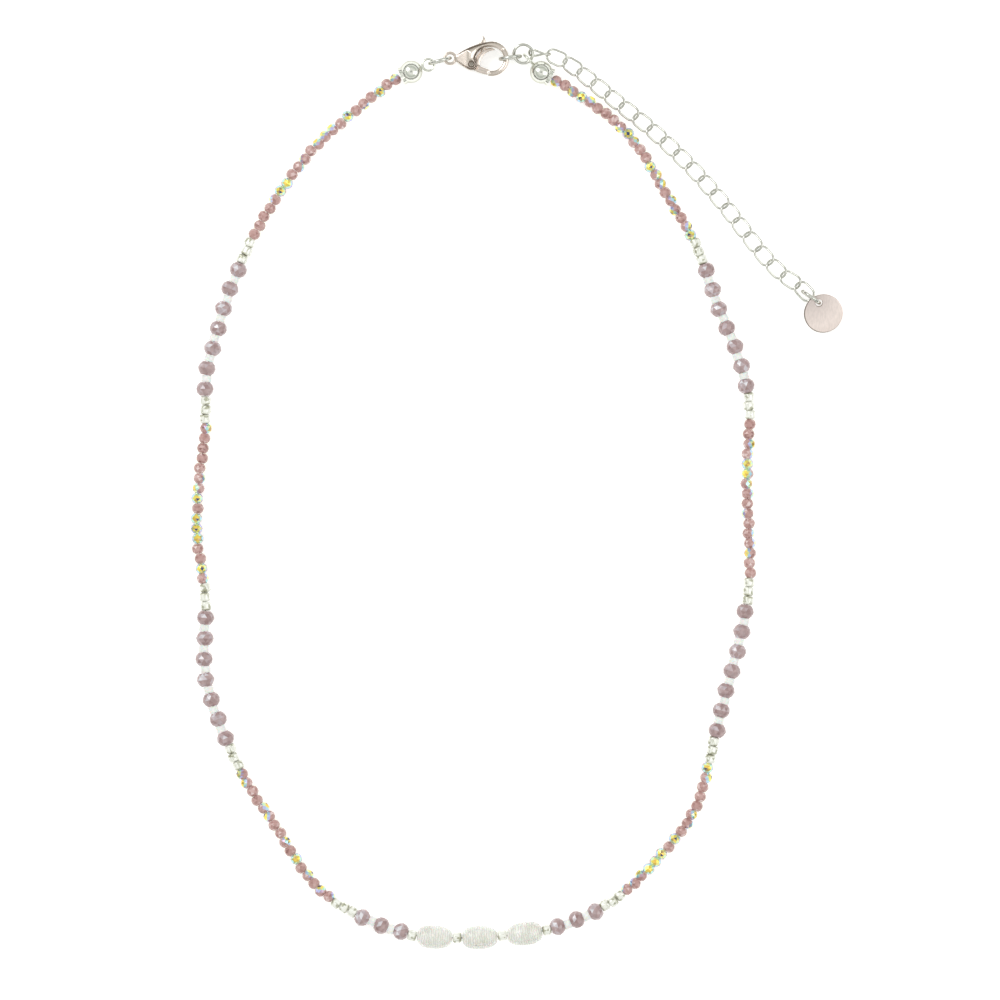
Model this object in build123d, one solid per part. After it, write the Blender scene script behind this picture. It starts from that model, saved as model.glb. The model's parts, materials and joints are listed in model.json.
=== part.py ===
from build123d import *
from math import acos, cos, pi, radians, sin, sqrt, tan
import os

# A beaded necklace with three rice pearls at its front, a lobster clasp at its back
# and a curb-chain extender with a round tag. It is clasped and lies flat on a table:
# +Z is up, the table is z = 0, the clasp is at +Y and the pearls are at -Y.
# Every length is in millimetres.

# ---------------------------------------------------------------- driving dimensions
WIRE_D = 0.30               # beading wire
BEAD_BORE = 0.80            # hole through every bead
ROUND_D, ROUND_L = 2.16, 1.74        # faceted glass rounds
RONDELLE_D, RONDELLE_L = 3.20, 2.40  # faceted rondelles
SPACER_D, SPACER_L = 1.75, 1.17      # white cylinder beads between the rondelles
SEED_D, SEED_L = 1.95, 1.57          # silver-lined seed beads
PEARL_D, PEARL_L = 4.20, 6.25        # rice pearls
PEARL_PLAY = 0.07           # extra room at each end of a pearl, which turns freely
PEARL_FLAT_R, PEARL_STEPS = 0.75, 7  # flat round the bore, and points along each half oval
PEARL_FULLNESS = 2.5        # 2 is an ellipse, and more is fuller towards the ends
PEARL_NAMES = ["pearl_left", "pearl_middle", "pearl_right"]
PEARL_WIDEST = [-0.45, -0.30, 0.45]  # where each pearl is widest, along the strand
BEAD_SWAY = 0.12            # how far a small bead sits off the wire's line

CAP_R, CAP_WALL = 2.00, 0.35         # hollow end caps that hide the crimps
CAP_RIM_R, CAP_RIM_AT = 1.62, 1.90   # radius and place of the cap's open rim
CAP_SEAT_R, CAP_SEAT_AT = 1.50, 1.3229
CAP_HOLE_R = 0.35
CAP_LOOP_R, CAP_LOOP_WIRE, CAP_LOOP_AT = 1.05, 0.44, 3.30
CRIMP_D, CRIMP_BORE, CRIMP_L = 1.30, 0.44, 1.30
CRIMP_AT = 0.35             # from a cap's centre to its crimp's middle
FIRST_BEAD_AT = 2.25        # from a cap's centre to the face of its first bead

RING_SPLIT = 1.5            # degrees left open where a jump ring's ends meet
RING_SPLIT_AT = 60          # degrees round the ring to that gap
LEFT_RING_R, LEFT_RING_WIRE = 1.90, 0.60
CATCH_RING_R, CATCH_RING_WIRE = 1.775, 0.65
JOINING_RING_R, JOINING_RING_WIRE = 1.675, 0.55
TAG_RING_R, TAG_RING_WIRE = 1.80, 0.60

LINK_A, LINK_B, LINK_WIRE = 1.87, 1.25, 0.40   # wire centre line: half length, half width
LINK_TWIST = 25             # degrees that each end of a curb link is turned
LINK_PITCH = 3.23

TAG_D, TAG_THICK, TAG_HOLE_D, TAG_HOLE_AT = 7.0, 0.50, 1.30, 2.15
TAG_TILT = 15               # degrees, the hole side up

CLASP_THICK = 2.80
HOOK_R, HOOK_WIRE = 2.60, 0.96       # centre line and section of the hook
CLASP_SLOT = 1.10           # slot between the two cheeks, where the lever swings
SLOT_REACH = 5.15           # the slot's far end, from the lever's pivot
LEVER_THICK, GATE_THICK = 0.90, 1.30
GATE_REACH, GATE_GAP = 3.42, 0.10    # the gate's end, from the pivot, and its gap to the hook
PIN_D, PIN_BORE = 0.60, 0.66
EYE_R, EYE_WIRE = 0.975, 0.55
SPRING_THICK, SPRING_WIDE = 0.12, 0.80

# The finished necklace is moved by this much, so that the origin is the centre of its
# own footprint.
SHIFT_X, SHIFT_Y = -0.925, 0.109
SHIFT = Vector(SHIFT_X, SHIFT_Y, 0)

# ---------------------------------------------------------------- the strand's route
# Points (x, y) that the beading wire passes, from the left cap over the front to the
# right cap.
LEFT_SIDE = [
    (-17.9, 75.0), (-21.5, 73.3), (-25.8, 69.8), (-30.4, 66.0), (-34.7, 62.2), (-38.2, 57.9),
    (-41.4, 53.5), (-44.4, 48.8), (-46.8, 44.4), (-48.5, 40.4), (-50.5, 35.5), (-52.7, 28.4),
    (-54.6, 21.2), (-54.7, 15.4), (-54.6, 10.6), (-55.6, 4.5), (-56.1, -1.8), (-56.3, -7.9),
    (-55.3, -13.8), (-54.5, -19.3), (-54.9, -26.0), (-54.8, -33.0), (-52.6, -40.5),
    (-49.7, -47.0), (-46.8, -52.9), (-42.3, -59.3), (-38.7, -65.4), (-34.9, -70.6),
    (-30.1, -74.2), (-23.4, -77.4), (-17.7, -79.2),
]
PEARL_ENDS = [(-9.7, -79.65), (-1.6, -79.35)]
RIGHT_SIDE = [
    (6.4, -78.3), (11.9, -76.4), (17.8, -73.4), (22.6, -69.3), (26.9, -64.6), (31.0, -59.9),
    (33.6, -55.1), (35.0, -49.5), (36.2, -44.3), (37.6, -38.4), (39.5, -31.3), (41.4, -23.9),
    (42.5, -16.8), (42.6, -10.5), (42.2, -4.1), (42.0, 2.3), (42.3, 8.6), (42.7, 14.3),
    (41.8, 19.9), (39.5, 27.1), (36.6, 33.6), (33.9, 42.0), (31.8, 46.5), (29.0, 50.9),
    (26.2, 55.7), (23.6, 60.4), (20.1, 64.8), (16.1, 68.2), (12.1, 70.8), (8.3, 73.3),
    (5.3, 74.9),
]
# How high the wire lies in each kind of bead, which rests on the table.
ROUND_Z, RONDELLE_Z, PEARL_Z, CAP_Z = 1.16, 1.71, 2.10, 2.00


def side_heights(points):
    """The wire's height at each point of one side: it lies higher in the rondelles."""
    heights = []
    for x, y in points:
        in_rondelles = 15.0 < y < 43.0 or -48.0 < y < -16.0 or -78.0 < y < -73.0
        z = RONDELLE_Z if in_rondelles else ROUND_Z
        heights.append(z)
    return heights


def strand_points():
    """The strand's route in space."""
    left = [Vector(x, y, z) for (x, y), z in zip(LEFT_SIDE, side_heights(LEFT_SIDE))]
    right = [Vector(x, y, z) for (x, y), z in zip(RIGHT_SIDE, side_heights(RIGHT_SIDE))]
    left[0].Z = right[-1].Z = CAP_Z
    left[1].Z = right[-2].Z = 1.60
    left[-1].Z = right[0].Z = PEARL_Z
    front = [Vector(x, y, PEARL_Z) for x, y in PEARL_ENDS]
    return left + front + right


def bend_radii(points):
    """One radius for each corner: 0.45 of its shorter run over the tangent of half its turn."""
    radii = []
    for before, here, after in zip(points, points[1:], points[2:]):
        turn = (here - before).get_angle(after - here)
        shorter = min((here - before).length, (after - here).length)
        radii.append(0.45 * shorter / tan(radians(turn / 2)))
    return radii


def bent_line(points):
    """Straight runs joined by tangent arcs."""
    return FilletPolyline(*points, radius=bend_radii(points)).wire()


def tube(path, diameter):
    """A round wire that follows an open path."""
    section = Plane(origin=path @ 0, z_dir=path % 0) * Circle(diameter / 2)
    return sweep(section, path=path)


def at_length(route, length):
    """The point and direction at a length along a route."""
    return route.position_at(length / route.length), route.tangent_at(length / route.length)


def across(point, direction, spin=0.0, sway=0.0):
    """A place whose z axis is the given direction, turned about it, and moved sideways by sway."""
    side = direction.cross(Vector(0, 0, 1)).normalized()
    here = Plane(origin=point + side * sway, x_dir=side, z_dir=direction)
    return here.location * Rotation(0, 0, spin)


# ---------------------------------------------------------------- beads
def faceted_bead(rings, sides):
    """A solid of triangular facets, from rings (z, radius) of corners that are staggered by
    half a side, with flat ends and a bore."""
    corners = []
    for row, (z, radius) in enumerate(rings):
        turn = 360 / sides
        start = turn / 2 if row % 2 else 0.0
        angles = [radians(start + turn * k) for k in range(sides)]
        corners.append([Vector(radius * cos(t), radius * sin(t), z) for t in angles])
    faces = [Face(Wire.make_polygon(corners[0][::-1])), Face(Wire.make_polygon(corners[-1]))]
    for row, (low, high) in enumerate(zip(corners, corners[1:])):
        step = row % 2
        for k in range(sides):
            after = (k + 1) % sides
            faces.append(Face(Wire.make_polygon([low[k], low[after], high[(k + step) % sides]])))
            faces.append(
                Face(Wire.make_polygon([high[k], low[(k + 1 - step) % sides], high[after]]))
            )
    body = Solid(Shell(faces))
    return body - Cylinder(BEAD_BORE / 2, 2 * rings[-1][0] + 1)


def make_round():
    """A faceted glass round."""
    half = ROUND_L / 2
    rings = [(-half, 0.60), (-0.47, 0.97), (0, ROUND_D / 2), (0.47, 0.97), (half, 0.60)]
    return faceted_bead(rings, 9)


def make_rondelle():
    """A faceted rondelle, wider than it is long."""
    half = RONDELLE_L / 2
    rings = [(-half, 0.90), (-0.68, 1.38), (0, RONDELLE_D / 2), (0.68, 1.38), (half, 0.90)]
    return faceted_bead(rings, 10)


def turned(*edges):
    """A solid of revolution about the z axis, from an outline in the XZ plane."""
    return revolve(make_face(Curve() + list(edges)), Axis.Z)


def make_tube_bead(diameter, length, edge):
    """A short tube with rounded edges: a spacer or a seed bead."""
    bead = Cylinder(diameter / 2, length)
    bead = fillet(bead.edges().filter_by(GeomType.CIRCLE), edge)
    bead = bead - Cylinder(BEAD_BORE / 2, length + 1)
    inner = [e for e in bead.edges().filter_by(GeomType.CIRCLE) if e.radius < BEAD_BORE / 2 + 0.001]
    return fillet(inner, 0.10)


def make_pearl(widest_at):
    """A rice pearl: two half ovals of unequal length that meet where it is widest, with a small
    flat round each end of its bore."""
    radius = PEARL_D / 2
    power = 2 / PEARL_FULLNESS
    end = acos((PEARL_FLAT_R / radius) ** (1 / power))
    outline = []
    for k in range(-PEARL_STEPS, PEARL_STEPS + 1):
        angle = end * abs(k) / PEARL_STEPS
        half = PEARL_L / 2 - widest_at if k > 0 else -PEARL_L / 2 - widest_at
        reach = half * (sin(angle) / sin(end)) ** power
        outline.append((radius * cos(angle) ** power, 0, widest_at + reach))
    bore = BEAD_BORE / 2
    ends = Polyline(outline[-1], (bore, 0, PEARL_L / 2), (bore, 0, -PEARL_L / 2), outline[0])
    return turned(Spline(*outline), ends)


# ---------------------------------------------------------------- end caps
def make_cap():
    """A hollow ball with an open rim on its bead side (+z), and the hole for the wire."""
    inside = CAP_R - CAP_WALL
    floor = 1.20
    floor_r = sqrt(inside**2 - floor**2)
    seat = 1.45
    return turned(
        ThreePointArc((0, 0, -CAP_R), (CAP_R, 0, 0), (CAP_SEAT_R, 0, CAP_SEAT_AT)),
        Polyline(
            (CAP_SEAT_R, 0, CAP_SEAT_AT), (CAP_RIM_R, 0, CAP_RIM_AT),
            (CAP_RIM_R - 0.2, 0, CAP_RIM_AT), (1.22, 0, seat), (CAP_HOLE_R, 0, seat),
            (CAP_HOLE_R, 0, floor), (floor_r, 0, floor),
        ),
        ThreePointArc((floor_r, 0, floor), (inside, 0, 0), (0, 0, -inside)),
        Line((0, 0, -inside), (0, 0, -CAP_R)),
    )


def make_cap_loop(flat):
    """The loop on a cap, along +x from the cap's centre: lying flat, or standing on edge."""
    ring = Torus(CAP_LOOP_R, CAP_LOOP_WIRE / 2)
    if not flat:
        ring = Rot(90, 0, 0) * ring
    near = CAP_LOOP_AT - CAP_LOOP_R
    stem = Pos((CAP_R - 0.15 + near) / 2, 0, 0) * Rot(0, 90, 0) * Cylinder(0.26, near - CAP_R + 0.15)
    return Pos(CAP_LOOP_AT, 0, 0) * ring + stem


def make_crimp():
    """The crushed tube that holds the wire's end inside a cap."""
    crimp = Cylinder(CRIMP_D / 2, CRIMP_L) - Cylinder(CRIMP_BORE / 2, CRIMP_L + 1)
    outer = [e for e in crimp.edges().filter_by(GeomType.CIRCLE) if e.radius > CRIMP_BORE]
    return fillet(outer, 0.15)


# ---------------------------------------------------------------- rings and chain
def jump_ring(radius, wire):
    """A ring of round wire in the XZ plane whose two cut ends almost meet."""
    ring = Torus(radius, wire / 2, major_angle=360 - RING_SPLIT, align=None)
    return Rot(90, 0, 0) * Rot(0, 0, RING_SPLIT_AT) * ring


def make_link():
    """A curb link along x: an oval of round wire with its two ends twisted opposite ways."""
    twist = radians(LINK_TWIST)
    wide = LINK_B
    high = LINK_B * tan(twist)
    corners = [
        Vector(LINK_A, wide, high), Vector(LINK_A, -wide, -high),
        Vector(-LINK_A, -wide, high), Vector(-LINK_A, wide, -high),
    ]
    turn = (corners[1] - corners[0]).get_angle(corners[2] - corners[1])
    radius = 0.47 * (corners[1] - corners[0]).length / tan(radians(turn / 2))
    oval = FilletPolyline(*corners, radius=radius, close=True).wire()
    return tube(oval.trim(0, 0.5), LINK_WIRE) + tube(oval.trim(0.5, 1), LINK_WIRE)


# The chain starts here, inside the joining ring.
CHAIN_START = Vector(3.39, 78.41, 2.16)
# How each link lies, from the joining ring to the tag: its heading in plan, its slope and
# its roll about its own length, in degrees.
LINKS_LIE = [(-5, 2, 81), (-23, -10, -3), (-34, -15, -12), (-39, -3, -8)]
LINKS_LIE += [
    (heading, 0, 0)
    for heading in (-39, -39, -38, -39, -42, -43, -45, -47, -49, -50, -52, -53, -52, -50, -44)
]
LINKS_LIE += [(-32, 3, 0), (-46, 5, 0)]


def link_places():
    """Each link's place, and the point about which it turns in the one before."""
    places, pivots = [], []
    start = CHAIN_START
    for heading, slope, roll in LINKS_LIE:
        turned_to = Rot(0, 0, heading) * Rot(0, -slope, 0)
        half_pitch = (turned_to * Pos(LINK_PITCH / 2, 0, 0)).position
        places.append(Location(start + half_pitch) * turned_to * Rot(roll, 0, 0))
        pivots.append(start)
        start = start + half_pitch * 2
    return places, pivots


def make_tag():
    """A round tag with a rounded rim, its hole towards -x."""
    disc = Cylinder(TAG_D / 2, TAG_THICK)
    disc = fillet(disc.edges().filter_by(GeomType.CIRCLE), 0.14)
    disc = disc - Pos(-TAG_HOLE_AT, 0, 0) * Cylinder(TAG_HOLE_D / 2, TAG_THICK + 1)
    rims = [e for e in disc.edges().filter_by(GeomType.CIRCLE) if e.radius < TAG_HOLE_D]
    return chamfer(rims, 0.06)


# ---------------------------------------------------------------- clasp
# The clasp's own frame: its eye is at the origin, its length is along +x, its mid-plane
# is z = 0, and the lever's thumb tab points to +y.
HOOK_CENTRE = Vector(7.42, -0.10, 0)
PIVOT = Vector(3.80, -1.10, 0)
LOBE_R = 0.98               # the cheeks' round end about the pivot
NECK_X = 2.75               # the slot starts here


def flat_plate(edges, thick):
    """A plate with the given outline, centred on z = 0."""
    return extrude(make_face(Curve() + list(edges)), thick / 2, both=True)


def make_shoulder():
    """The clasp body between its eye and its hook, tapered towards both."""
    top, bottom = (7.30, 2.978), (7.30, 2.024)
    plate = flat_plate(
        [
            ThreePointArc((0.95, 0.45), (3.80, 2.06), top),
            ThreePointArc(top, (8.80, 2.654), (9.84, 1.815)),
            Line((9.84, 1.815), (9.09, 1.221)),
            ThreePointArc((9.09, 1.221), (8.30, 1.830), bottom),
            ThreePointArc(bottom, (5.35, 1.42), (4.50, 0.10)),
            Line((4.50, 0.10), (4.70, -1.10)),
            ThreePointArc((4.70, -1.10), (4.20, -1.95), (3.35, -2.00)),
            ThreePointArc((3.35, -2.00), (2.20, -1.35), (0.95, -0.45)),
            Line((0.95, -0.45), (0.95, 0.45)),
        ],
        CLASP_THICK,
    )
    plate = plate + Pos(PIVOT) * Cylinder(LOBE_R, CLASP_THICK)
    half = CLASP_THICK / 2
    side = Polyline(
        (0.5, 0, 0.36), (1.3, 0, 0.60), (3.0, 0, half), (5.6, 0, half), (10.2, 0, 0.40),
        (10.2, 0, -0.40), (5.6, 0, -half), (3.0, 0, -half), (1.3, 0, -0.60), (0.5, 0, -0.36),
        (0.5, 0, 0.36),
    )
    return plate & extrude(make_face(side), 6, both=True)


def make_clasp_body():
    """The cast body: eye, shoulder with its slot for the lever, and hook."""
    slot = Pos(PIVOT) * Cylinder(SLOT_REACH, CLASP_SLOT)
    slot = slot - Pos(NECK_X - 5, 0, 0) * Box(10, 14, 3)
    bore = Pos(PIVOT) * Cylinder(PIN_BORE / 2, CLASP_THICK + 1)
    shoulder = make_shoulder() - slot - bore
    hook = Torus(HOOK_R, HOOK_WIRE / 2, major_angle=150, align=None)
    hook = Pos(HOOK_CENTRE) * Rot(0, 0, -106) * hook
    hook = hook - Pos(PIVOT) * Cylinder(GATE_REACH + GATE_GAP, 3)
    eye = Torus(EYE_R, EYE_WIRE / 2)
    return shoulder + hook + eye


def make_lever():
    """The lever: gate, arm along the inside of the shoulder, and thumb tab."""
    disc = Pos(PIVOT) * Cylinder(0.80, LEVER_THICK)
    gate = flat_plate(
        [
            Polyline((3.80, -0.55), (5.13, -1.34), (7.40, -2.22), (7.40, -3.00), (6.40, -2.88)),
            ThreePointArc((6.40, -2.88), (5.00, -2.48), (3.80, -1.88)),
            Line((3.80, -1.88), (3.80, -0.55)),
        ],
        GATE_THICK,
    )
    gate = gate & Pos(PIVOT) * (Cylinder(GATE_REACH, 3) - Cylinder(LOBE_R + 0.10, 4))
    root = flat_plate(
        [Polyline((3.80, -0.40), (5.40, -1.44), (5.40, -2.55), (3.80, -1.88), (3.80, -0.40))],
        LEVER_THICK,
    )
    arm = flat_plate(
        [
            ThreePointArc((4.30, -0.70), (5.24, 1.06), (7.30, 1.90)),
            Polyline((7.30, 1.90), (7.98, 1.66), (7.98, 1.46)),
            ThreePointArc((7.98, 1.46), (6.05, 0.62), (5.36, -1.30)),
            Line((5.36, -1.30), (4.30, -0.70)),
        ],
        LEVER_THICK,
    )
    tab = flat_plate(
        [
            Polyline((5.45, 1.00), (5.15, 2.75)),
            ThreePointArc((5.15, 2.75), (5.38, 3.50), (5.86, 4.00)),
            ThreePointArc((5.86, 4.00), (6.22, 3.60), (6.30, 2.90)),
            Polyline((6.30, 2.90), (6.35, 1.55), (5.45, 1.00)),
        ],
        LEVER_THICK,
    )
    bore = Pos(PIVOT) * Cylinder(PIN_BORE / 2, 3)
    return disc + gate + root + arm + tab - bore


def make_lever_pin():
    """The pin that the lever turns on."""
    return Pos(PIVOT) * Cylinder(PIN_D / 2, CLASP_THICK - 0.06)


def make_lever_spring():
    """The bent leaf that pushes the lever shut: from the slot's floor to the arm's back."""
    start, crown, end = Vector(2.80, -0.10, 0), Vector(3.35, 0.85, 0), Vector(4.42, 0.58, 0)
    leaf = ThreePointArc(start, crown, end)
    section = Plane(origin=leaf @ 0, z_dir=leaf % 0, x_dir=(0, 0, 1))
    return sweep(section * Rectangle(SPRING_WIDE, SPRING_THICK), path=leaf)


# ---------------------------------------------------------------- where the fittings lie
LEFT_LOOP_HEADING = 22      # degrees, from the left cap to its loop
RIGHT_LOOP_HEADING = 134
EYE_AT = Vector(-10.95, 77.40, 1.85)
LEFT_RING_AT, LEFT_RING_HEADING = Vector(-12.77, 76.95, 2.20), 15
CATCH_RING_AT, CATCH_RING_HEADING = Vector(-0.20, 77.52, 2.10), 8
JOINING_RING_AT, JOINING_RING_TILT = Vector(2.10, 78.20, 1.95), 12
TAG_RING_AT, TAG_RING_HEADING = Vector(53.46, 34.76, 2.10), -35
TAG_AT, TAG_HEADING = Vector(55.70, 31.89, 1.17), -66


def placed(shape, at, heading, tilt=0.0):
    """A shape turned about x by tilt, then about z by heading, and moved to its place."""
    return Location(at + SHIFT) * Rot(0, 0, heading) * Rot(tilt, 0, 0) * shape


# ---------------------------------------------------------------- the strand's make-up
# From the left cap to the middle pearl, and back to the right cap in the same order.
HALF_STRAND = (
    [("round", 22), ("seed", 3), ("rondelle", 7), ("seed", 3), ("round", 16), ("seed", 3)]
    + [("rondelle", 7), ("seed", 3), ("round", 16), ("seed", 3), ("rondelle", 3), ("seed", 1)]
    + [("pearl", 1), ("seed", 1)]
)
STRAND = HALF_STRAND + [("pearl", 1)] + HALF_STRAND[::-1]
LENGTHS = {"round": ROUND_L, "rondelle": RONDELLE_L, "spacer": SPACER_L, "seed": SEED_L}
LENGTHS["pearl"] = PEARL_L + 2 * PEARL_PLAY


def bead_sequence():
    """Every bead in order, as (kind, number of its group)."""
    beads = []
    for group, (kind, count) in enumerate(STRAND):
        for k in range(count):
            if kind == "rondelle" and k > 0:
                beads.append(("spacer", group))
            beads.append((kind, group))
    return beads


def string_beads(route):
    """Each bead's place on the wire: a list of (kind, group, location, point, direction)."""
    beads = bead_sequence()
    middle = len(beads) // 2
    half_length = sum(LENGTHS[kind] for kind, _ in beads[:middle]) + LENGTHS["pearl"] / 2
    bends = (Vector(*PEARL_ENDS[0], PEARL_Z) + Vector(*PEARL_ENDS[1], PEARL_Z)) / 2
    to_middle = route.param_at_point(bends + SHIFT) * route.length
    left_gap = (to_middle - FIRST_BEAD_AT - half_length) / middle
    right_gap = (route.length - to_middle - FIRST_BEAD_AT - half_length) / middle
    print("beads", len(beads), "gaps", round(left_gap, 4), round(right_gap, 4))
    strung = []
    s = FIRST_BEAD_AT
    for index, (kind, group) in enumerate(beads):
        gap = left_gap if index < middle else right_gap
        s += LENGTHS[kind] / 2
        point, direction = at_length(route, s)
        sway = 0.0 if kind == "pearl" else BEAD_SWAY * sin(2.4 * index)
        spin = 0.0 if kind == "pearl" else 137.5 * index
        strung.append((kind, group, across(point, direction, spin, sway), point, direction))
        s += LENGTHS[kind] / 2 + gap
    return strung


def write(name, *shapes):
    """Write one node's STEP file."""
    solids = [solid for shape in shapes for solid in shape.solids()]
    for solid in solids:
        solid.label = name
    shape = solids[0] if len(solids) == 1 else Compound(children=solids)
    shape.label = name
    export_step(shape, f"parts/{name}.step")


def main():
    os.makedirs("parts", exist_ok=True)
    points = [p + SHIFT for p in strand_points()]
    print("bend radii", [round(r, 1) for r in bend_radii(points)])
    route = bent_line(points)
    wire = tube(route, WIRE_D)
    print("wire volume over section x length", wire.volume / (pi * WIRE_D**2 / 4 * route.length))
    write("beading_wire", wire)

    models = {
        "round": make_round(),
        "rondelle": make_rondelle(),
        "spacer": make_tube_bead(SPACER_D, SPACER_L, 0.12),
        "seed": make_tube_bead(SEED_D, SEED_L, 0.42),
    }
    strung = string_beads(route)
    groups = {}
    for kind, group, place, point, direction in strung:
        if kind == "pearl":
            continue
        groups.setdefault((kind, group), []).append(place * models[kind])
    last = len(STRAND) - 1
    seeds = {"seed_beads_left": [], "seed_beads_front": [], "seed_beads_right": []}
    counts = {"round": 0, "rondelle": 0, "spacer": 0}
    names = {"round": "glass_rounds", "rondelle": "rondelles", "spacer": "white_spacers"}
    for (kind, group), solids in groups.items():
        if kind == "seed":
            alone = len(solids) == 1
            side = "front" if alone else "left" if group < last / 2 else "right"
            seeds[f"seed_beads_{side}"] += solids
            continue
        counts[kind] += 1
        write(f"{names[kind]}_{counts[kind]}", *solids)
    for name, solids in seeds.items():
        write(name, *solids)

    pearls = [bead[2:] for bead in strung if bead[0] == "pearl"]
    for name, widest, (place, point, direction) in zip(PEARL_NAMES, PEARL_WIDEST, pearls):
        write(name, place * make_pearl(widest))
        through = tuple(round(v, 4) for v in point)
        print(name, "spins about", through, tuple(round(v, 4) for v in direction))

    ends = [("left", points[0], points[1] - points[0], LEFT_LOOP_HEADING, True)]
    ends.append(("right", points[-1], points[-2] - points[-1], RIGHT_LOOP_HEADING, False))
    for side, centre, inward, heading, flat in ends:
        place = across(centre, inward.normalized())
        cap = place * make_cap() + Location(centre) * Rot(0, 0, heading) * make_cap_loop(flat)
        write(f"end_cap_{side}", cap)
        write(f"crimp_{side}", place * Pos(0, 0, CRIMP_AT) * make_crimp())

    ring = jump_ring(LEFT_RING_R, LEFT_RING_WIRE)
    write("left_ring", placed(ring, LEFT_RING_AT, LEFT_RING_HEADING))
    ring = jump_ring(CATCH_RING_R, CATCH_RING_WIRE)
    write("catch_ring", placed(ring, CATCH_RING_AT, CATCH_RING_HEADING))
    ring = jump_ring(JOINING_RING_R, JOINING_RING_WIRE)
    write("joining_ring", placed(ring, JOINING_RING_AT, 0, 90 + JOINING_RING_TILT))
    ring = jump_ring(TAG_RING_R, TAG_RING_WIRE)
    write("tag_ring", placed(ring, TAG_RING_AT, TAG_RING_HEADING))
    tag = Rot(0, TAG_TILT, 0) * make_tag()
    write("tag", placed(tag, TAG_AT, TAG_HEADING))

    write("clasp_body", placed(make_clasp_body(), EYE_AT, 0))
    write("clasp_lever", placed(make_lever(), EYE_AT, 0))
    write("lever_pin", placed(make_lever_pin(), EYE_AT, 0))
    write("lever_spring", placed(make_lever_spring(), EYE_AT, 0))

    link = make_link()
    places, pivots = link_places()
    for k, (place, pivot) in enumerate(zip(places, pivots), 1):
        write(f"chain_link_{k:02d}", Location(SHIFT) * place * link)
        print(f"chain_link_{k:02d} turns about", tuple(round(v, 3) for v in pivot + SHIFT))


main()
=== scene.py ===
import json
import math
import random

import bmesh
import bpy
from mathutils import Matrix, Vector
from mathutils.bvhtree import BVHTree


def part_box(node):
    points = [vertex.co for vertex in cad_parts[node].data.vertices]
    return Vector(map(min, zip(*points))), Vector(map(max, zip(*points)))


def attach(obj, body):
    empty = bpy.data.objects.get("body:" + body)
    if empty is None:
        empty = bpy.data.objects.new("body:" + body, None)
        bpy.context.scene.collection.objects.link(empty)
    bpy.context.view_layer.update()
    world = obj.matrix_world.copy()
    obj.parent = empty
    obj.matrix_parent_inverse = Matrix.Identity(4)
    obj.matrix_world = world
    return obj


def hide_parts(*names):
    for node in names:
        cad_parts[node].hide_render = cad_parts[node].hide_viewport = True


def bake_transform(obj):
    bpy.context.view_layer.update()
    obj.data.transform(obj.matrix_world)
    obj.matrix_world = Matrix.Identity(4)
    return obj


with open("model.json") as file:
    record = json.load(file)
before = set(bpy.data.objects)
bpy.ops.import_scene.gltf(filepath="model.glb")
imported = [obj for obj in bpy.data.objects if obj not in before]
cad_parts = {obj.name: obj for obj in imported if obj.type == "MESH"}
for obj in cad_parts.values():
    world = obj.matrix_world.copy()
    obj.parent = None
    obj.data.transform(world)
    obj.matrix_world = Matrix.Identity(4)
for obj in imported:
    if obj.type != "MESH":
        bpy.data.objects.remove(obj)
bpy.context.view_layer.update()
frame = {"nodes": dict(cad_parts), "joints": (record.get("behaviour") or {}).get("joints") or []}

# A beaded necklace, clasped and lying flat on a pale table. Lengths are in metres. The object's
# places all come from its CAD nodes.

nodes = frame["nodes"]
scene = bpy.context.scene

WHITE = (1.0, 1.0, 1.0)


# ------------------------------------------------------------------ node-tree helpers
def principled(tree):
    """A node tree's Principled shader."""
    return next(n for n in tree.nodes if n.type == "BSDF_PRINCIPLED")


def new_material(name, settings):
    """A Principled material with some inputs set by name, and its tree and shader."""
    material = bpy.data.materials.new(name)
    material.use_nodes = True
    shader = principled(material.node_tree)
    for socket, value in settings.items():
        shader.inputs[socket].default_value = value
    return material, material.node_tree, shader


def ramp(tree, value, stops):
    """A colour that follows a value, from (value, (red, green, blue)) stops."""
    node = tree.nodes.new("ShaderNodeValToRGB")
    elements = node.color_ramp.elements
    while len(elements) < len(stops):
        elements.new(0.5)
    for element, (place, colour) in zip(elements, stops):
        element.position = place
        element.color = (*colour, 1)
    tree.links.new(value, node.inputs["Fac"])
    return node.outputs["Color"]


def place_on_object(tree):
    """The shaded point in the row frame."""
    return tree.nodes.new("ShaderNodeTexCoord").outputs["Object"]


def noise(tree, scale, detail=2.0, stretch=None):
    """Noise with scale features to the metre, stretched along an axis or not."""
    node = tree.nodes.new("ShaderNodeTexNoise")
    node.inputs["Scale"].default_value = scale
    node.inputs["Detail"].default_value = detail
    point = place_on_object(tree)
    if stretch:
        mapping = tree.nodes.new("ShaderNodeMapping")
        mapping.inputs["Scale"].default_value = stretch
        tree.links.new(point, mapping.inputs["Vector"])
        point = mapping.outputs["Vector"]
    tree.links.new(point, node.inputs["Vector"])
    return node.outputs["Fac"]


def attribute(tree, name):
    """A number that the mesh carries for each face."""
    node = tree.nodes.new("ShaderNodeAttribute")
    node.attribute_name = name
    return node.outputs["Fac"]


def bump(tree, shader, height, distance, strength):
    """A fine relief from a height between 0 and 1."""
    node = tree.nodes.new("ShaderNodeBump")
    node.inputs["Distance"].default_value = distance
    node.inputs["Strength"].default_value = strength
    tree.links.new(height, node.inputs["Height"])
    tree.links.new(node.outputs["Normal"], shader.inputs["Normal"])


def mix(tree, kind, factor, a, b):
    """Colours a and b blended, by a factor that is a number or a socket."""
    node = tree.nodes.new("ShaderNodeMix")
    node.data_type = "RGBA"
    node.blend_type = kind
    if isinstance(factor, bpy.types.NodeSocket):
        tree.links.new(factor, node.inputs[0])
    else:
        node.inputs[0].default_value = factor
    tree.links.new(a, node.inputs[6])
    tree.links.new(b, node.inputs[7])
    return node.outputs[2]


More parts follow.
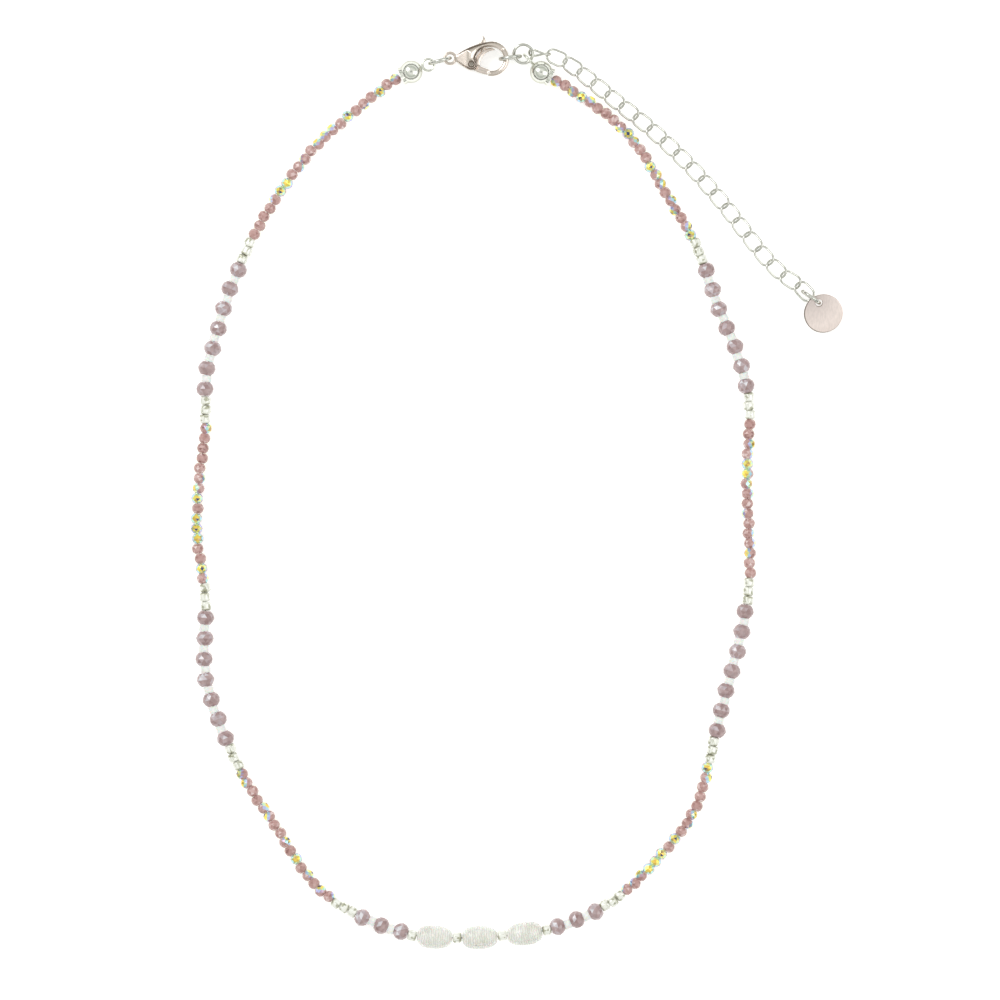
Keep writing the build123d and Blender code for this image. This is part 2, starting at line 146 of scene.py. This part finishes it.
def how_far(tree, point, reach):
    """The distance from a point of the row frame, counted as 1 at reach."""
    gap = tree.nodes.new("ShaderNodeVectorMath")
    gap.operation = "DISTANCE"
    gap.inputs[1].default_value = point
    scaled = tree.nodes.new("ShaderNodeMath")
    scaled.operation = "DIVIDE"
    scaled.inputs[1].default_value = reach
    tree.links.new(place_on_object(tree), gap.inputs[0])
    tree.links.new(gap.outputs["Value"], scaled.inputs[0])
    return scaled.outputs[0]


# ------------------------------------------------------------------ materials
def rose_glass():
    """Dusty rose glass with a rainbow half-coat on the side each bead's coat faces, and painted
    light that makes it brighter and darker from facet to facet.
    """
    material, tree, shader = new_material("rose_glass", {"Roughness": 0.10, "IOR": 1.58})
    coat = attribute(tree, "coat")
    # The body's tone for each facet is the bead's own tone plus painted light that stands for
    # reflections inside the glass.
    body = ramp(tree, attribute(tree, "facet"), [
        (0.0, (0.31, 0.155, 0.145)), (0.35, (0.48, 0.27, 0.255)), (0.7, (0.60, 0.375, 0.36)),
        (1.0, (0.82, 0.66, 0.66)),
    ])
    rainbow = ramp(tree, coat, [
        (0.30, (0.52, 0.36, 0.56)), (0.42, (0.55, 0.52, 0.88)), (0.54, (0.45, 0.75, 0.92)),
        (0.66, (0.55, 0.86, 0.62)), (0.76, (0.90, 0.88, 0.42)), (0.88, (0.95, 0.80, 0.12)),
        (0.955, (0.90, 0.58, 0.12)), (1.0, (0.05, 0.08, 0.20)),
    ])
    cover = ramp(tree, coat, [(0.28, (0, 0, 0)), (0.36, WHITE)])
    tree.links.new(mix(tree, "MIX", cover, body, rainbow), shader.inputs["Base Color"])
    mirror = ramp(tree, coat, [(0.28, (0, 0, 0)), (0.40, (0.55, 0.55, 0.55))])
    tree.links.new(mirror, shader.inputs["Metallic"])
    bump(tree, shader, noise(tree, 900, 3), 0.00002, 0.25)
    return material


def mauve_crystal():
    """Mauve cut glass, brighter and darker from facet to facet in painted light, with a painted
    highlight on the facets that glint.
    """
    settings = {"Roughness": 0.05, "IOR": 1.62, "Transmission Weight": 0.12}
    material, tree, shader = new_material("mauve_crystal", settings)
    # The body's tone for each facet is the bead's own tone plus painted light that stands for
    # reflections inside the glass; its whitest stop is the painted highlight on glinting facets.
    body = ramp(tree, attribute(tree, "facet"), [
        (0.0, (0.34, 0.20, 0.20)), (0.3, (0.45, 0.30, 0.305)), (0.6, (0.57, 0.41, 0.42)),
        (0.82, (0.70, 0.60, 0.66)), (1.0, (0.95, 0.93, 1.0)),
    ])
    veil = ramp(tree, noise(tree, 1400), [(0.35, (0.82, 0.82, 0.82)), (0.65, WHITE)])
    tree.links.new(mix(tree, "MULTIPLY", 1.0, body, veil), shader.inputs["Base Color"])
    return material


def white_silk_glass():
    """Milky glass with fine striations."""
    settings = {"Roughness": 0.32, "Subsurface Weight": 0.25, "Subsurface Scale": 0.0006}
    material, tree, shader = new_material("white_silk_glass", settings)
    streak = noise(tree, 2600, 3, (1.0, 1.0, 0.25))
    tone = ramp(tree, streak, [(0.3, (0.80, 0.80, 0.79)), (0.7, (0.97, 0.97, 0.96))])
    tree.links.new(tone, shader.inputs["Base Color"])
    bump(tree, shader, streak, 0.00003, 0.5)
    return material


def seed_glass():
    """Glass over a silver lining, speckled, with painted light and shade: bright along its
    middle, darker at its ends in painted shade, and with painted glints on some facets.
    """
    settings = {"Metallic": 0.15, "Roughness": 0.16, "Coat Weight": 1.0, "Coat Roughness": 0.03}
    material, tree, shader = new_material("seed_glass", settings)
    # Painted shade: each bead is bright along its middle and darker towards its ends, where it
    # meets the next.
    painted_end_shade = ramp(tree, attribute(tree, "along"), [
        (0.0, (1.0, 1.0, 0.97)), (0.60, (0.96, 0.96, 0.91)), (0.82, (0.72, 0.72, 0.61)),
        (0.94, (0.34, 0.33, 0.22)), (1.0, (0.80, 0.80, 0.74)),
    ])
    # Painted glints: some facets made brighter by their painted light.
    painted_glints = ramp(tree, attribute(tree, "facet"), [
        (0.22, (0.62, 0.63, 0.55)), (0.40, (0.94, 0.94, 0.90)), (0.55, WHITE),
    ])
    specks = ramp(tree, noise(tree, 1300, 1), [(0.36, (0.50, 0.50, 0.40)), (0.44, WHITE)])
    lit = mix(tree, "MULTIPLY", 1.0, painted_end_shade, painted_glints)
    tree.links.new(mix(tree, "MULTIPLY", 1.0, lit, specks), shader.inputs["Base Color"])
    return material


METAL_AT_ITS_EDGE = (0.42, 0.40, 0.34, 1)   # the tint of a metal that is seen at a low angle
WORN = 0.90                 # how bright a metal's darkest patches are


def metal(name, colour, roughness, uneven=0.04, grain_scale=700, stretch=None, grain=0.15):
    """Plated or bare metal: roughness and colour that vary a little, and a very fine bump."""
    settings = {"Metallic": 1.0, "Specular Tint": METAL_AT_ITS_EDGE}
    material, tree, shader = new_material(name, settings)
    cloud = noise(tree, grain_scale, 4, stretch)
    dark = tuple(c * WORN for c in colour)
    tone = ramp(tree, cloud, [(0.35, dark), (0.65, colour)])
    tree.links.new(tone, shader.inputs["Base Color"])
    smooth, rough = (roughness,) * 3, (roughness + uneven,) * 3
    gloss = ramp(tree, cloud, [(0.3, smooth), (0.7, rough)])
    tree.links.new(gloss, shader.inputs["Roughness"])
    bump(tree, shader, cloud, 0.00003, grain)
    return material


def tag_metal(low, high):
    """Brushed champagne plate, greyer on its upper left in painted shade, and with a painted
    dark reflection along its rim that is widest at its lower left.
    """
    material = metal("tag_plate", (0.90, 0.79, 0.755), 0.28, 0.06, 5200, (1.0, 0.10, 1.0), 0.12)
    tree = material.node_tree
    base = principled(tree).inputs["Base Color"]
    plate = base.links[0].from_socket
    middle = (Vector(low) + Vector(high)) / 2
    # Painted shade that greys the plate towards its upper left.
    from_upper_left = how_far(tree, middle + Vector((-0.0022, 0.0035, 0)), 0.008)
    painted_upper_left_shade = ramp(tree, from_upper_left, [
        (0.15, (0.74, 0.74, 0.75)), (0.75, WHITE), (1.0, (0.93, 0.91, 0.90)),
    ])
    # A painted dark reflection along the plate's rim, widest at its lower left.
    from_middle = how_far(tree, middle + Vector((0.0001, 0.0001, 0)), 0.0037)
    rim = ramp(tree, from_middle, [(0.92, WHITE), (0.95, (0.34, 0.33, 0.31))])
    plate_with_painted_shade = mix(tree, "MULTIPLY", 1.0, plate, painted_upper_left_shade)
    tree.links.new(mix(tree, "MULTIPLY", 1.0, plate_with_painted_shade, rim), base)
    return material


def nacre(name, direction):
    """Nacre: white to cream, with fine wavy ridges round the pearl's own axis, darkened in their
    grooves by painted shade.
    """
    settings = {"Roughness": 0.20, "Coat Weight": 0.9, "Coat Roughness": 0.08}
    settings.update({"Subsurface Weight": 0.15, "Subsurface Scale": 0.0008})
    material, tree, shader = new_material(name, settings)
    mapping = tree.nodes.new("ShaderNodeMapping")
    mapping.inputs["Rotation"].default_value = (0, 0, -math.atan2(direction[1], direction[0]))
    tree.links.new(place_on_object(tree), mapping.inputs["Vector"])
    wave = tree.nodes.new("ShaderNodeTexWave")
    wave.bands_direction = "X"
    wave.inputs["Scale"].default_value = 760
    wave.inputs["Distortion"].default_value = 5.5
    wave.inputs["Detail"].default_value = 3
    wave.inputs["Detail Scale"].default_value = 1.6
    tree.links.new(mapping.outputs["Vector"], wave.inputs["Vector"])
    rings = wave.outputs["Fac"]
    tone = ramp(tree, noise(tree, 520, 3), [
        (0.32, (0.84, 0.83, 0.77)), (0.5, (0.94, 0.93, 0.89)), (0.68, (1.0, 0.98, 0.96)),
    ])
    # Painted shade in the grooves of the ridges that the bump below raises.
    painted_groove_shade = ramp(tree, rings, [(0.0, (0.74, 0.75, 0.71)), (0.45, WHITE)])
    tree.links.new(mix(tree, "MULTIPLY", 0.7, tone, painted_groove_shade), shader.inputs["Base Color"])
    bump(tree, shader, rings, 0.00010, 1.0)
    return material


# ------------------------------------------------------------------ pieces in place of CAD nodes
def stand_in(name, data, node, material):
    """An object that replaces a CAD node and takes its finish from a material slot."""
    piece = bpy.data.objects.new(name, data)
    bpy.context.collection.objects.link(piece)
    data.materials.clear()
    data.materials.append(material)
    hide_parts(node)
    return piece


# ------------------------------------------------------------------ beads
# Which way each faceted round's rainbow coat faces, in stringing order: L and R are -X and
# +X, T and B are +Y and -Y, F is up, e is only just in sight from above, and "." is below.
COATS = {
    1: "TL . F . eRB . F . TL TL TL . eL eR . F F eL . . . .",
    2: "R . . . . eR L F . F F F . . F eR",
    3: "L L . . RT L . . RT . F . RT . T eR",
    4: "eL eL LT F F F . F . eRB R . . . R F",
    5: ". . L eR eR . eL . eR R LF F eR R . .",
    6: "F R . LB RT . R R F . . RT F LB . . . TR F L . LB",
}
SIDES = {"L": (-1, 0, 0), "R": (1, 0, 0), "T": (0, 1, 0), "B": (0, -1, 0), "F": (0, 0, 1.6)}
COAT_LIFT, COAT_DIP = 0.45, -0.25    # how far a coat looks up, or down if it is just in sight
# Rondelle facets that face about this way get a painted highlight.
UPPER_LEFT = Vector((-0.35, 0.30, 0.89))
GLINT_WITHIN = 0.93         # cosine of how near to UPPER_LEFT a glinting facet looks; such a facet gets a painted highlight
# the middle of a bead's tone, and how much brighter a painted highlight makes a glinting facet
MIDDLE_TONE, PAINTED_GLINT_LIFT = 0.52, 0.28
BEAD_SPREAD, COAT_SPREAD = 0.08, 0.06
MERGE = 1e-7                # corners nearer to each other than this are one


def coat_direction(code):
    """The direction that a coat faces, from its code."""
    if code == ".":
        return Vector((0, 0, -1))
    way = Vector((0, 0, 0))
    for letter in code.replace("e", ""):
        way += Vector(SIDES[letter])
    way.z += COAT_DIP if "e" in code else COAT_LIFT
    return way.normalized()


def bore_axis(faces, centre):
    """A bead's axis: square to the faces of its bore, which look towards its middle line."""
    inner = [f.normal.copy() for f in faces if f.normal.dot(f.calc_center_median() - centre) < 0]
    axis = Vector()
    for one, other in zip(inner, inner[1:]):
        cross = one.cross(other)
        axis += cross if cross.dot(axis) >= 0 else -cross
    return axis.normalized()


def loose_pieces(mesh):
    """A mesh's faces, in one list for each loose piece."""
    left = set(mesh.faces)
    pieces = []
    for start in mesh.faces:
        if start not in left:
            continue
        left.discard(start)
        piece, queue = [start], [start]
        while queue:
            face = queue.pop()
            for other in (f for edge in face.edges for f in edge.link_faces):
                if other in left:
                    left.discard(other)
                    piece.append(other)
                    queue.append(other)
        pieces.append(piece)
    return pieces


def dress(node, material, coats=None, lining=None, glint=None, painted_light_spread=0.20):
    """A bead node's mesh with a tone for each facet, a coat for each bead, and how far along its
    bead each face is. A facet's tone is its bead's own tone plus painted light, a random
    brightness that stands for reflections inside the glass; facets that face glint get a painted
    highlight, and a lining covers the bores."""
    mesh = bmesh.new()
    mesh.from_mesh(nodes[node].data)
    bmesh.ops.remove_doubles(mesh, verts=mesh.verts, dist=MERGE)
    facet = mesh.faces.layers.float.new("facet")
    coat = mesh.faces.layers.float.new("coat")
    along = mesh.faces.layers.float.new("along")
    chance = random.Random(node)
    for k, faces in enumerate(loose_pieces(mesh)):
        corners = {v for f in faces for v in f.verts}
        centre = sum((v.co for v in corners), Vector()) / len(corners)
        way = coat_direction(coats[k]) if coats else None
        base = MIDDLE_TONE + chance.uniform(-BEAD_SPREAD, BEAD_SPREAD)
        axis = bore_axis(faces, centre)
        half_length = max(abs((v.co - centre).dot(axis)) for v in corners)
        for face in faces:
            face.normal_update()
            from_centre = face.calc_center_median() - centre
            inward = face.normal.dot(from_centre) < 0
            # Painted light: a random brightness for each facet, standing for reflections inside
            # the glass, on top of the bead's own tone.
            tone = base + chance.gauss(0, painted_light_spread)
            # A painted highlight on the facets that face glint.
            if glint and face.normal.dot(glint) > GLINT_WITHIN:
                tone += PAINTED_GLINT_LIFT
            face[facet] = min(1, max(0, tone))
            face[along] = abs(from_centre.dot(axis)) / half_length
            if way and not inward:
                spread = chance.uniform(-COAT_SPREAD, COAT_SPREAD)
                face[coat] = max(0.0, face.normal.dot(way)) + spread
            if lining and inward:
                face.material_index = 1
            face.smooth = bool(lining)
    data = bpy.data.meshes.new(node + "_dressed")
    mesh.to_mesh(data)
    mesh.free()
    piece = stand_in(node + "_dressed", data, node, material)
    if lining:
        data.materials.append(lining)
    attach(piece, "strand")


def dress_beads():
    """The rounds, the rondelles and the seed beads."""
    rose, mauve, seed = rose_glass(), mauve_crystal(), seed_glass()
    silver = metal("silver_lining", (0.90, 0.87, 0.74), 0.16)
    for number, codes in COATS.items():
        dress(f"glass_rounds_{number}", rose, coats=codes.split())
    for number in range(1, 7):
        name = f"rondelles_{number}"
        # The rondelles get less painted facet light than the other beads, and painted highlights
        # on their upper-left facets.
        dress(name, mauve, glint=UPPER_LEFT, painted_light_spread=0.13)
    for side in ("left", "front", "right"):
        dress(f"seed_beads_{side}", seed, lining=silver)


# ------------------------------------------------------------------ the clasp, as cast metal
# A cast part is worked on in millimetres, because the remesher takes no voxel under 0.1 mm
# when the unit is the metre.
MM = 0.001
VOXEL = 0.055
EASE, EASE_TIMES = 0.5, 7
FLAT_SLOPE = 0.6            # how far a flat's normal is along z, at the least
FLAT_HEIGHT = 0.2           # how far a flat is from the middle plane, at the least
RAY_DEPTH = 0.12            # how far under a flat its edges are looked for
RAY_STEP, RAYS = 30, 12     # degrees between the rays, and how many
MOST_FALL = 0.4             # share of a flat's height that it may fall


def softened(node):
    """A CAD node's mesh in millimetres, remeshed, with its edges rounded over."""
    sharp = nodes[node].data.copy()
    sharp.transform(Matrix.Scale(1 / MM, 4))
    piece = bpy.data.objects.new(node + "_sharp", sharp)
    bpy.context.collection.objects.link(piece)
    skin = piece.modifiers.new("skin", "REMESH")
    skin.mode = "VOXEL"
    skin.voxel_size = VOXEL
    ease = piece.modifiers.new("ease", "SMOOTH")
    ease.factor = EASE
    ease.iterations = EASE_TIMES
    depsgraph = bpy.context.evaluated_depsgraph_get()
    soft = bpy.data.meshes.new_from_object(piece.evaluated_get(depsgraph))
    bpy.data.objects.remove(piece)
    return soft


def dome(mesh, rim, fall):
    """Lowers a plate's two flats towards their edges, by nothing at a distance rim from an edge
    and by fall at the edge itself."""
    heights = [v.co.z for v in mesh.vertices]
    middle = (max(heights) + min(heights)) / 2
    corners, sides = [v.co for v in mesh.vertices], [p.vertices for p in mesh.polygons]
    surface = BVHTree.FromPolygons(corners, sides)
    turns = [math.radians(RAY_STEP * k) for k in range(RAYS)]
    rays = [Vector((math.cos(t), math.sin(t), 0)) for t in turns]
    falls = {}
    for v in mesh.vertices:
        up = v.co.z - middle
        if v.normal.z * up <= 0 or abs(v.normal.z) < FLAT_SLOPE or abs(up) < FLAT_HEIGHT:
            continue
        start = v.co - v.normal * RAY_DEPTH
        hits = [surface.ray_cast(start, ray, rim)[3] for ray in rays]
        near = min((hit for hit in hits if hit is not None), default=rim)
        falls[v.index] = up * min(fall / abs(up), MOST_FALL) * (1 - near / rim) ** 2
    for index, move in falls.items():
        mesh.vertices[index].co.z -= move


def cast(node, body, material, rim, fall):
    """A cast part of the clasp, with rounded edges and domed flats."""
    mesh = softened(node)
    dome(mesh, rim, fall)
    mesh.transform(Matrix.Scale(MM, 4))
    for polygon in mesh.polygons:
        polygon.use_smooth = True
    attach(stand_in(node + "_cast", mesh, node, material), body)


def leaf_spring(material):
    """The leaf spring, as a copy of its CAD node with its placing baked into its mesh. In the
    real clasp it bends as the lever opens, its foot staying with the clasp and its tip following
    the lever; this copy is not made to bend."""
    data = nodes["lever_spring"].data.copy()
    piece = stand_in("lever_spring_leaf", data, "lever_spring", material)
    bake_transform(piece)


# ------------------------------------------------------------------ CAD nodes that stay
def paint(node, material):
    """A better material on a CAD node."""
    for place in nodes[node].material_slots:
        place.material = material


def paint_fittings():
    """The clasp, the chain and everything else that isn't a bead."""
    silver = metal("silver_plate", (0.70, 0.70, 0.66), 0.10)
    ball = metal("cap_plate", (0.84, 0.85, 0.79), 0.17, 0.06)
    for name in nodes:
        if name.startswith(("chain_link", "crimp")) or name.endswith("_ring"):
            paint(name, silver)
        if name.startswith("end_cap"):
            paint(name, ball)
    champagne = metal("clasp_plate", (0.74, 0.655, 0.60), 0.17, 0.08, 500, None, 0.5)
    cast("clasp_body", "clasp", champagne, rim=1.9, fall=0.55)
    cast("clasp_lever", "lever", champagne, rim=0.8, fall=0.16)
    paint("lever_pin", champagne)
    leaf_spring(metal("spring_steel", (0.50, 0.50, 0.50), 0.28, 0.10, 1500))
    paint("tag", tag_metal(*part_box("tag")))
    paint("beading_wire", metal("steel_wire", (0.62, 0.62, 0.62), 0.25, 0.10, 1500))


def paint_pearls():
    """Each pearl's nacre, whose rings go round the axis that it spins about."""
    for joint in frame["joints"]:
        if joint["name"].startswith("pearl_"):
            paint(joint["child"], nacre(joint["child"] + "_nacre", joint["axis"]))


dress_beads()
silk = white_silk_glass()
for number in range(1, 7):
    paint(f"white_spacers_{number}", silk)
paint_fittings()
paint_pearls()

# ------------------------------------------------------------------ floor, light, camera
FLOOR_SIZE, FLOOR_DROP = 3.0, 0.0004
SKY_STRENGTH = 0.8
PICTURE_MIDDLE, CAMERA_HEIGHT = (-0.002979, -0.001320), 1.5012
LENS_MM, SENSOR_MM = 302.4, 36.0     # they take in about 178.6 mm of the table


def pale_floor():
    """A plain white table top, just under the object."""
    bpy.ops.mesh.primitive_plane_add(size=FLOOR_SIZE, location=(0, 0, -FLOOR_DROP))
    floor = bpy.context.object
    floor.name = "floor"
    settings = {"Base Color": (0.92, 0.92, 0.92, 1), "Roughness": 0.9}
    settings.update({"Emission Color": (*WHITE, 1), "Emission Strength": 0.42})
    floor.data.materials.append(new_material("pale_floor", settings)[0])


def studio_tent():
    """A light tent, from the horizon up: dark, a bright band, grey, and a bright top with a grey
    middle."""
    world = bpy.data.worlds.new("studio")
    world.use_nodes = True
    scene.world = world
    tree = world.node_tree
    background = next(n for n in tree.nodes if n.type == "BACKGROUND")
    sky = tree.nodes.new("ShaderNodeTexCoord")
    parts = tree.nodes.new("ShaderNodeSeparateXYZ")
    tree.links.new(sky.outputs["Generated"], parts.inputs["Vector"])
    tent = ramp(tree, parts.outputs["Z"], [
        (0.0, (0.02, 0.02, 0.02)), (0.11, (0.04, 0.04, 0.04)), (0.20, (0.50, 0.52, 0.47)),
        (0.34, (1.40, 1.40, 1.36)), (0.58, (0.55, 0.60, 0.53)), (0.78, (1.0, 1.02, 0.96)),
        (0.975, (1.25, 1.25, 1.22)), (0.990, (0.42, 0.45, 0.40)),
    ])
    tree.links.new(tent, background.inputs["Color"])
    background.inputs["Strength"].default_value = SKY_STRENGTH


def softbox(name, place, size, power):
    """A square soft light that faces the object."""
    light = bpy.data.lights.new(name, "AREA")
    light.size = size
    light.energy = power
    lamp = bpy.data.objects.new(name, light)
    lamp.location = place
    lamp.rotation_euler = (-Vector(place)).to_track_quat("-Z", "Y").to_euler()
    bpy.context.collection.objects.link(lamp)


def overhead_camera():
    """A camera that looks straight down, with a long lens."""
    lens = bpy.data.cameras.new("camera")
    lens.lens = LENS_MM
    lens.sensor_width = SENSOR_MM
    lens.clip_end = 10.0
    camera = bpy.data.objects.new("camera", lens)
    camera.location = (*PICTURE_MIDDLE, CAMERA_HEIGHT)
    bpy.context.collection.objects.link(camera)
    scene.camera = camera


pale_floor()
studio_tent()
softbox("key", (-0.55, 0.45, 0.75), 0.45, 2.6)
softbox("fill", (0.60, -0.10, 0.65), 0.55, 1.2)
overhead_camera()
scene.view_settings.view_transform = "Standard"
